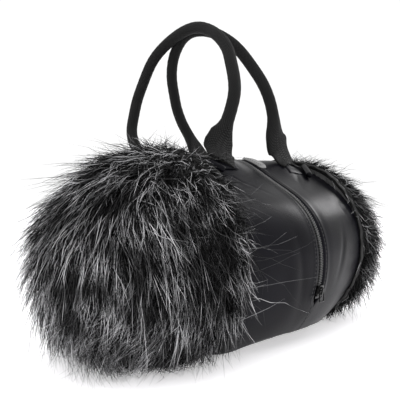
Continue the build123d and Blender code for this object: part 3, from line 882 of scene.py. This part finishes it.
for side, word in ((-1, "left"), (1, "right")):
    handle = handle_piece(word, side)
    front, along, up, normal = PLANES[word]
    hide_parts(word + "_handle_webbing", word + "_handle_core",
                word + "_front_paddle", word + "_back_paddle")
    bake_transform(handle, word + "_half", word + "_handle",
             start=tuple(front + up * 5 * MM), end=tuple(front + up * 24 * MM))
    print(word, "handle faces", len(handle.data.polygons))


# %% [markdown]
# ## Patches, tab and welts
# Under each foot lies a square of leather, box-stitched to the barrel. A leather tab lies
# along the zip, light grey as a painted highlight, and a short rolled welt guards each front
# foot. All of them follow the barrel's surface, so each is a small grid on that surface.


# %% Patches under the feet
def surface_patch(name, centre_x, centre_angle, half_x, half_arc, lift, thick, material,
                  corner=0.0, slope=0.0, grid=(26, 26)):
    """A thin pad on the barrel. Its corners are rounded and its rim is turned down."""
    across, around = np.meshgrid(np.linspace(-1, 1, grid[0]), np.linspace(-1, 1, grid[1]))
    if corner:
        bound = (np.abs(across) ** corner + np.abs(around) ** corner) ** (1 / corner)
        square = np.maximum(np.abs(across), np.abs(around))
        shrink = np.where(bound > 0, square / np.maximum(bound, 1e-9), 1)
        across, around = across * shrink, around * shrink
        square = np.maximum(np.abs(across), np.abs(around))
        edge = (np.abs(across) ** corner + np.abs(around) ** corner) ** (1 / corner)
    else:
        edge = np.maximum(np.abs(across), np.abs(around))
    x = centre_x + across * half_x + slope * around * half_arc
    angle = centre_angle + around * half_arc / ZIP_RADIUS
    rim = 1 - 0.75 * smooth(0.86, 1.0, edge)
    outer = barrel_point(x, angle, lift + thick * rim)
    inner = barrel_point(x, angle, np.full(x.shape, lift))
    spots = np.stack([(across + 1) / 2, (around + 1) * half_arc], -1)
    piece = shell_mesh(name, outer, inner, closed_rows=False, uv=spots)
    piece.data.materials.append(material)
    return piece


def box_stitch(name, centre_x, centre_angle, half_x, half_arc, lift, pitch):
    """A stitched rectangle with a cross inside it."""
    corner = [(-1, -1), (1, -1), (1, 1), (-1, 1), (-1, -1), (1, 1), (1, -1), (-1, 1)]
    places, along, out = [], [], []
    for (ax, aa), (bx, ba) in zip(corner, corner[1:]):
        start, stop = np.array([ax * half_x, aa * half_arc]), np.array([bx * half_x, ba * half_arc])
        count = max(2, int(np.linalg.norm(stop - start) / pitch))
        for share in (np.arange(count) + 0.5) / count:
            spot = start + (stop - start) * share
            ahead = spot + (stop - start) * 0.02
            angle = centre_angle + spot[1] / ZIP_RADIUS
            here = barrel_point(centre_x + spot[0], angle, lift)
            there = barrel_point(centre_x + ahead[0], centre_angle + ahead[1] / ZIP_RADIUS, lift)
            places.append(here)
            along.append(there - here)
            out.append(outward(angle))
    return row_of_lumps(name, np.array(places), np.array(along), np.array(out),
                        (1.0 * MM, 0.36 * MM, 0.34 * MM), thread)


for side, word in ((-1, "left"), (1, "right")):
    for which, end in ((0, "front"), (1, "back")):
        sign = 1 - 2 * which
        patch = surface_patch(f"{word}_{end}_foot_patch", side * 0.058, sign * radians(33),
                              14.5 * MM, 14.0 * MM, 0.25 * MM, 1.0 * MM, leather)
        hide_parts(f"{word}_{end}_patch")
        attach(patch, word + "_half")
        stitch = box_stitch(f"{word}_{end}_box_stitch", side * 0.0595, sign * radians(33.6),
                            11.5 * MM, 4.6 * MM, 4.75 * MM, 2.4 * MM)
        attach(stitch, word + "_half")

# %% The tab, light grey as a painted highlight
tab = surface_patch("painted_highlight_tab", 12.5 * MM, radians(25), 5.6 * MM, 14.0 * MM, 0.7 * MM, 2.2 * MM,
                    painted_highlight_leather, corner=5.0)
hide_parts("side_tab")
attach(tab, "right_half")
tab_row = barrel_row("painted_highlight_tab_stitches", 8.8 * MM, radians(18.5), radians(31.5), 2.4 * MM, 3.0 * MM,
                     (0.85 * MM, 0.34 * MM, 0.3 * MM), thread)
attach(tab_row, "right_half")


# %% Rolled welts
def welt_piece(word, side):
    angles = np.linspace(radians(32), radians(46), 40)
    centres = barrel_point(side * np.linspace(0.093, 0.072, 40), angles, 3.9 * MM)
    step = np.gradient(centres, axis=0)
    step /= np.linalg.norm(step, axis=1, keepdims=True)
    out = outward(angles)
    across = np.cross(step, out)
    ends = np.minimum(np.arange(40), 39 - np.arange(40)) / 3.0
    thick = 3.3 * MM * (0.72 + 0.28 * np.sqrt(np.clip(ends, 0, 1)))
    piece = tube_mesh(word + "_rolled_welt", centres, across, out, thick, thick * 0.94, around=20)
    piece.data.materials.append(leather)
    return piece


for side, word in ((-1, "left"), (1, "right")):
    welt = welt_piece(word, side)
    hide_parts(word + "_foot_welt")
    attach(welt, word + "_half")
print("small leather parts made")

# %% [markdown]
# ## The fur
# Long fur could be Blender's own hair, but an exported model keeps only meshes. So each hair
# is a thin three-sided tube that Geometry Nodes grows from a skin mesh. The skin's points
# carry the way the fur is combed. Every hair rises a little from the skin, leans over along
# the comb direction and droops, and the tips in each small cell are pulled together, which
# gives the wet-looking clumps of real long fur. Two dark coats lie under two or three of
# frosted hairs.


# %% The combed skin
def comb_direction(side, points, normals):
    """The way the fur lies at each point of a cap, along its skin."""
    down = np.array([0.0, 0.0, -1.0])
    whorl = np.array([side * 0.100, 0.02, SEAM_Z + 0.094])
    away = points - whorl
    far = np.linalg.norm(away, axis=-1, keepdims=True)
    lie = away / np.maximum(far, 0.004) * 0.5 + down * 0.55 + np.array([side * 0.38, 0, 0])
    if side < 0:
        knot = points - np.array([-0.165, -0.060, SEAM_Z + 0.006])
        near = np.exp(-(np.linalg.norm(knot, axis=-1, keepdims=True) / 0.034) ** 2)
        lie = lie + near * np.cross(knot / 0.03, np.array([-0.75, -0.6, 0.1])) * 0.9
    turn = np.stack([wrinkle(points, 24.0, 11), wrinkle(points, 24.0, 12), wrinkle(points, 24.0, 13)], -1)
    fine = np.stack([wrinkle(points, 70.0, 14), wrinkle(points, 70.0, 15), wrinkle(points, 70.0, 16)], -1)
    lie = lie + turn * 0.75 + fine * 0.35
    lie = lie - (lie * normals).sum(-1, keepdims=True) * normals
    return lie / np.maximum(np.linalg.norm(lie, axis=-1, keepdims=True), 1e-6)


def skin_object(side, name, lift=0.0):
    """The cap's skin with its comb direction and its outward direction on every point."""
    grid = dome_grid(side, CAP_DEPTH + lift, SEAM_RADIUS + lift, rows=128, columns=44)
    away = grid - np.array([side * PANEL_HALF, 0, SEAM_Z])
    normals = away / (np.array([CAP_DEPTH, SEAM_RADIUS, SEAM_RADIUS]) ** 2)
    normals /= np.linalg.norm(normals, axis=-1, keepdims=True)
    mesh = bpy.data.meshes.new(name)
    faces = grid_faces(128, 44, 0, True, False, flip=side < 0)
    faces.append(tuple(row * 44 + 43 for row in (range(128) if side > 0 else range(127, -1, -1))))
    mesh.from_pydata([tuple(p) for p in grid.reshape(-1, 3)], [], faces)
    comb = comb_direction(side, grid, normals)
    out_share = np.abs(grid[..., :1]) - PANEL_HALF
    outer = smooth(0.0, 0.08, out_share)
    low = 1 - smooth(0.008, 0.06, grid[..., 2:])
    size = (0.38 + 0.84 * outer) if side < 0 else (0.32 + 0.44 * outer)
    comb = comb * size * (1 - 0.35 * low)
    lifted = normals * size * (1 - 0.62 * low) * (0.85 + 0.3 * outer)
    for label, values in (("comb", comb), ("rise", lifted)):
        layer = mesh.attributes.new(label, "FLOAT_VECTOR", "POINT")
        layer.data.foreach_set("vector", values.reshape(-1, 3).astype(np.float32).ravel())
    skin = bpy.data.objects.new(name, mesh)
    bpy.context.scene.collection.objects.link(skin)
    return skin


# %% The hair tree
FRONT_LIMIT = -0.1235
CURL_REACH, KINK_REACH = 0.011, 0.010


def hair_nodes(name, material, points_per_hair):
    labels = ("Density", "Length", "Shorter", "Radius", "Rise", "Fall", "Clump", "Cell", "Stray")
    tree, given = new_nodes(name, [(label, "Float") for label in labels] + [("Seed", "Int")])
    roots = add(tree, "GeometryNodeDistributePointsOnFaces",
                {"Mesh": given["Geometry"], "Density": given["Density"], "Seed": given["Seed"]})
    line = add(tree, "GeometryNodeCurvePrimitiveLine", {"Start": (0, 0, 0), "End": (0, 0, 1)}).outputs[0]
    line = add(tree, "GeometryNodeResampleCurve", {"Curve": line, "Count": points_per_hair}).outputs[0]

    def remember(geometry, kind, label, value):
        store = add(tree, "GeometryNodeStoreNamedAttribute", {}, data_type=kind, domain="POINT")
        tree.links.new(geometry, store.inputs["Geometry"])
        store.inputs["Name"].default_value = label
        socket = next(s for s in store.inputs if s.identifier.startswith("Value") and s.enabled)
        tree.links.new(value, socket)
        return store.outputs[0]

    def recall(label, kind="FLOAT_VECTOR"):
        node = add(tree, "GeometryNodeInputNamedAttribute", {"Name": label}, data_type=kind)
        return node.outputs["Attribute"]

    def chance(low, high, offset):
        seed = maths(tree, "ADD", given["Seed"], float(offset))
        node = add(tree, "FunctionNodeRandomValue", {}, data_type="FLOAT")
        for socket in node.inputs:
            if socket.identifier == "Min_001":
                socket.default_value = low
            if socket.identifier == "Max_001":
                socket.default_value = high
            if socket.identifier == "Seed":
                tree.links.new(seed, socket)
        return next(s for s in node.outputs if s.identifier == "Value_001")

    spot = add(tree, "GeometryNodeInputPosition").outputs[0]
    dots = remember(roots.outputs["Points"], "FLOAT_VECTOR", "root", spot)
    dots = remember(dots, "FLOAT", "which", chance(0.0, 1.0, 1))
    dots = remember(dots, "FLOAT", "long", chance(0.0, 1.0, 2))
    sway = add(tree, "FunctionNodeRandomValue", {}, data_type="FLOAT_VECTOR")
    sway.inputs["Min"].default_value, sway.inputs["Max"].default_value = (-1, -1, -1), (1, 1, 1)
    dots = remember(dots, "FLOAT_VECTOR", "sway", sway.outputs[0])
    hairs = add(tree, "GeometryNodeInstanceOnPoints", {"Points": dots, "Instance": line}).outputs[0]
    hairs = add(tree, "GeometryNodeRealizeInstances", {"Geometry": hairs}).outputs[0]
    along = add(tree, "GeometryNodeSplineParameter").outputs["Factor"]
    root, comb, rise, sway_of = recall("root"), recall("comb"), recall("rise"), recall("sway")
    shorter = maths(tree, "MULTIPLY", recall("long", "FLOAT"), given["Shorter"])
    length = maths(tree, "MULTIPLY", given["Length"], maths(tree, "SUBTRACT", 1.0, shorter))
    square = maths(tree, "MULTIPLY", along, along)
    upward = maths(tree, "SUBTRACT", along, maths(tree, "MULTIPLY", square, 0.62))
    upward = maths(tree, "MULTIPLY", maths(tree, "MULTIPLY", upward, given["Rise"]), length)
    forward = maths(tree, "MULTIPLY_ADD", square, 0.28, maths(tree, "MULTIPLY", along, 0.66))
    forward = maths(tree, "MULTIPLY", forward, length)
    drop = maths(tree, "MULTIPLY", maths(tree, "MULTIPLY", square, given["Fall"]), length)
    stray = maths(tree, "MULTIPLY", maths(tree, "MULTIPLY", square, given["Stray"]), length)
    place = vector_maths(tree, "ADD", root, vector_maths(tree, "SCALE", rise, upward))
    place = vector_maths(tree, "ADD", place, vector_maths(tree, "SCALE", comb, forward))
    drop = maths(tree, "MULTIPLY", drop, -1.0)
    fall = add(tree, "ShaderNodeCombineXYZ", {0: 0.0, 1: 0.0, 2: drop}).outputs[0]
    place = vector_maths(tree, "ADD", place, fall)
    place = vector_maths(tree, "ADD", place, vector_maths(tree, "SCALE", sway_of, stray))
    for share, cell_share in ((1.0, 1.0), (0.55, 0.38)):
        scale = maths(tree, "DIVIDE", 1.0, maths(tree, "MULTIPLY", given["Cell"], cell_share))
        cell = add(tree, "ShaderNodeTexVoronoi", {"Vector": root, "Scale": scale}, voronoi_dimensions="3D")
        to_cell = vector_maths(tree, "SUBTRACT", cell.outputs["Position"], root)
        pull = maths(tree, "MULTIPLY", maths(tree, "MULTIPLY", square, given["Clump"]), share)
        place = vector_maths(tree, "ADD", place, vector_maths(tree, "SCALE", to_cell, pull))
    curl = add(tree, "ShaderNodeTexNoise", {"Vector": place, "Scale": 70.0, "Detail": 1.0}).outputs["Color"]
    curl = vector_maths(tree, "SUBTRACT", curl, (0.5, 0.5, 0.5))
    curl = vector_maths(tree, "SCALE", curl, maths(tree, "MULTIPLY", square, CURL_REACH))
    place = vector_maths(tree, "ADD", place, curl)
    own_place = vector_maths(tree, "ADD", place, sway_of)
    kink = add(tree, "ShaderNodeTexNoise", {"Vector": own_place, "Scale": 120.0, "Detail": 1.0}).outputs["Color"]
    kink = vector_maths(tree, "SUBTRACT", kink, (0.5, 0.5, 0.5))
    kink = vector_maths(tree, "SCALE", kink, maths(tree, "MULTIPLY", along, KINK_REACH))
    place = vector_maths(tree, "ADD", place, kink)
    parts = add(tree, "ShaderNodeSeparateXYZ", {"Vector": place})
    floor_limit = maths(tree, "MULTIPLY_ADD", recall("which", "FLOAT"), 0.004, 0.0006)
    height = maths(tree, "MAXIMUM", parts.outputs[2], floor_limit)
    reach_limit = maths(tree, "MULTIPLY_ADD", recall("which", "FLOAT"), 0.004, FRONT_LIMIT)
    front_limit = maths(tree, "MAXIMUM", parts.outputs[1], reach_limit)
    place = add(tree, "ShaderNodeCombineXYZ", {0: parts.outputs[0], 1: front_limit, 2: height}).outputs[0]
    hairs = add(tree, "GeometryNodeSetPosition", {"Geometry": hairs, "Position": place}).outputs[0]
    taper = maths(tree, "SUBTRACT", 1.0, maths(tree, "MULTIPLY", maths(tree, "POWER", along, 2.2), 0.88))
    hairs = remember(hairs, "FLOAT", "along", along)
    round_hair = add(tree, "GeometryNodeCurvePrimitiveCircle", {"Resolution": 3, "Radius": 1.0}).outputs[0]
    thickness = maths(tree, "MULTIPLY", taper, given["Radius"])
    hairs = add(tree, "GeometryNodeSetCurveRadius", {"Curve": hairs, "Radius": thickness}).outputs[0]
    tubes = add(tree, "GeometryNodeCurveToMesh", {"Curve": hairs, "Profile Curve": round_hair, "Fill Caps": True})
    scale_socket = next((s for s in tubes.inputs if s.name == "Scale"), None)
    if scale_socket is not None:
        radius = add(tree, "GeometryNodeInputRadius").outputs[0]
        tree.links.new(radius, scale_socket)
    strand = {0: recall("which", "FLOAT"), 1: recall("along", "FLOAT"), 2: 0.0}
    strand = add(tree, "ShaderNodeCombineXYZ", strand).outputs[0]
    mapped = tubes.outputs[0]
    for label in ("strand", "OFBake"):
        store = add(tree, "GeometryNodeStoreNamedAttribute", {}, data_type="FLOAT2", domain="CORNER")
        tree.links.new(mapped, store.inputs["Geometry"])
        store.inputs["Name"].default_value = label
        socket = next(s for s in store.inputs if s.identifier.startswith("Value") and s.enabled)
        tree.links.new(strand, socket)
        mapped = store.outputs[0]
    finish_nodes(tree, mapped, material)
    return tree


# %% Growing the coats
COATS = {
    "undercoat": dict(Density=150000.0, Length=0.034, Shorter=0.35, Radius=0.00062, Rise=0.52, Fall=0.12,
                      Clump=0.8, Cell=0.012, Stray=0.15, Seed=3),
    "topcoat": dict(Density=195000.0, Length=0.043, Shorter=0.4, Radius=0.00036, Rise=0.74, Fall=0.16,
                    Clump=0.42, Cell=0.009, Stray=0.34, Seed=29),
    "frost": dict(Density=150000.0, Length=0.046, Shorter=0.5, Radius=0.00027, Rise=0.8, Fall=0.16,
                  Clump=0.35, Cell=0.010, Stray=0.42, Seed=41),
    "fine_frost": dict(Density=150000.0, Length=0.042, Shorter=0.5, Radius=0.00023, Rise=0.86, Fall=0.14,
                       Clump=0.15, Cell=0.008, Stray=0.6, Seed=67),
    "long_frost": dict(Density=150000.0, Length=0.051, Shorter=0.45, Radius=0.00027, Rise=0.76, Fall=0.2,
                       Clump=0.55, Cell=0.012, Stray=0.3, Seed=83),
}
CAP_SHARE = {"left": 1.0, "right": 0.8}
CAP_COATS = {
    "left": (("undercoat", 4), ("topcoat", 4), ("frost", 5), ("fine_frost", 5), ("long_frost", 5)),
    "right": (("undercoat", 4), ("topcoat", 4), ("frost", 5), ("fine_frost", 5)),
}


def grow_coat(word, side, coat, material, points_per_hair):
    tree = hair_nodes(f"{word}_{coat}_nodes", material, points_per_hair)
    skin = skin_object(side, f"{word}_{coat}_skin")
    sizes = dict(COATS[coat], Density=COATS[coat]["Density"] * CAP_SHARE[word])
    piece = grow(skin, tree, f"{word}_fur_{coat}", **sizes)
    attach(piece, word + "_half")
    return piece


for side, word in ((-1, "left"), (1, "right")):
    shell = shell_mesh(word + "_fur_skin", dome_grid(side, CAP_DEPTH + 0.006, SEAM_RADIUS + 0.003, rough=0.003),
                       dome_grid(side, CAP_DEPTH - 0.0012, SEAM_RADIUS - 0.0012))
    shell.data.materials.append(undercoat)
    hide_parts(word + "_fur_backing")
    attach(shell, word + "_half")
    for coat, count in CAP_COATS[word]:
        piece = grow_coat(word, side, coat, fur_light if "frost" in coat else fur_dark, count)
        if coat == "undercoat":
            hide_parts(word + "_fur_pile")

# %% [markdown]
# ## Loose hairs over the leather
# A few long pale hairs stray from the left cap across the leather. They grow from a narrow
# strip of skin beside the seam, with the same tree as the coats but hardly any clumping.


# %% Stray hairs
def stray_strip():
    turns = np.radians(np.linspace(42, 122, 60))[:, None]
    share = np.linspace(0.02, 0.2, 6)[None, :]
    x = -(PANEL_HALF + CAP_DEPTH * np.sin(share)) + 0 * turns
    reach = (SEAM_RADIUS + 0.004) * np.cos(share) + 0 * turns
    grid = np.stack([x, -reach * np.sin(turns), SEAM_Z + reach * np.cos(turns)], -1)
    out = np.stack([0 * x, -np.sin(turns) + 0 * x, np.cos(turns) + 0 * x], -1)
    comb = np.array([1.0, 0, 0]) + 0.35 * np.stack([0 * x, wrinkle(grid, 60, 21), wrinkle(grid, 60, 22)], -1)
    mesh = bpy.data.meshes.new("stray_strip")
    mesh.from_pydata([tuple(p) for p in grid.reshape(-1, 3)], [], grid_faces(60, 6, 0, False, False))
    for label, values in (("comb", comb), ("rise", out)):
        layer = mesh.attributes.new(label, "FLOAT_VECTOR", "POINT")
        layer.data.foreach_set("vector", values.reshape(-1, 3).astype(np.float32).ravel())
    strip = bpy.data.objects.new("stray_strip", mesh)
    bpy.context.scene.collection.objects.link(strip)
    return strip


stray_fur = fur_material("fur_stray", (0.02, 0.02, 0.021), (0.9, 0.9, 0.92), -0.2, 0.35, 0.2)
strays = grow(stray_strip(), hair_nodes("stray_nodes", stray_fur, 7), "left_stray_hairs",
              Density=24000.0, Length=0.052, Shorter=0.6, Radius=0.00019, Rise=0.4, Fall=0.1, Clump=0.0, Cell=0.01,
              Stray=0.75, Seed=53)
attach(strays, "left_half")

# %% [markdown]
# ## What stays from CAD
# The stiff board, the zip's end stops and the slider's ring are simple hard pieces whose
# shape is already right, so they stay as CAD nodes and only get their finish.

# %% Finishes on CAD nodes
for node, finish in (("base_board", board_plastic), ("zip_front_stop", slider_metal),
                     ("zip_back_stop", slider_metal), ("slider_puller", slider_metal)):
    mesh = frame["nodes"][node].data
    mesh.materials.clear()
    mesh.materials.append(finish)
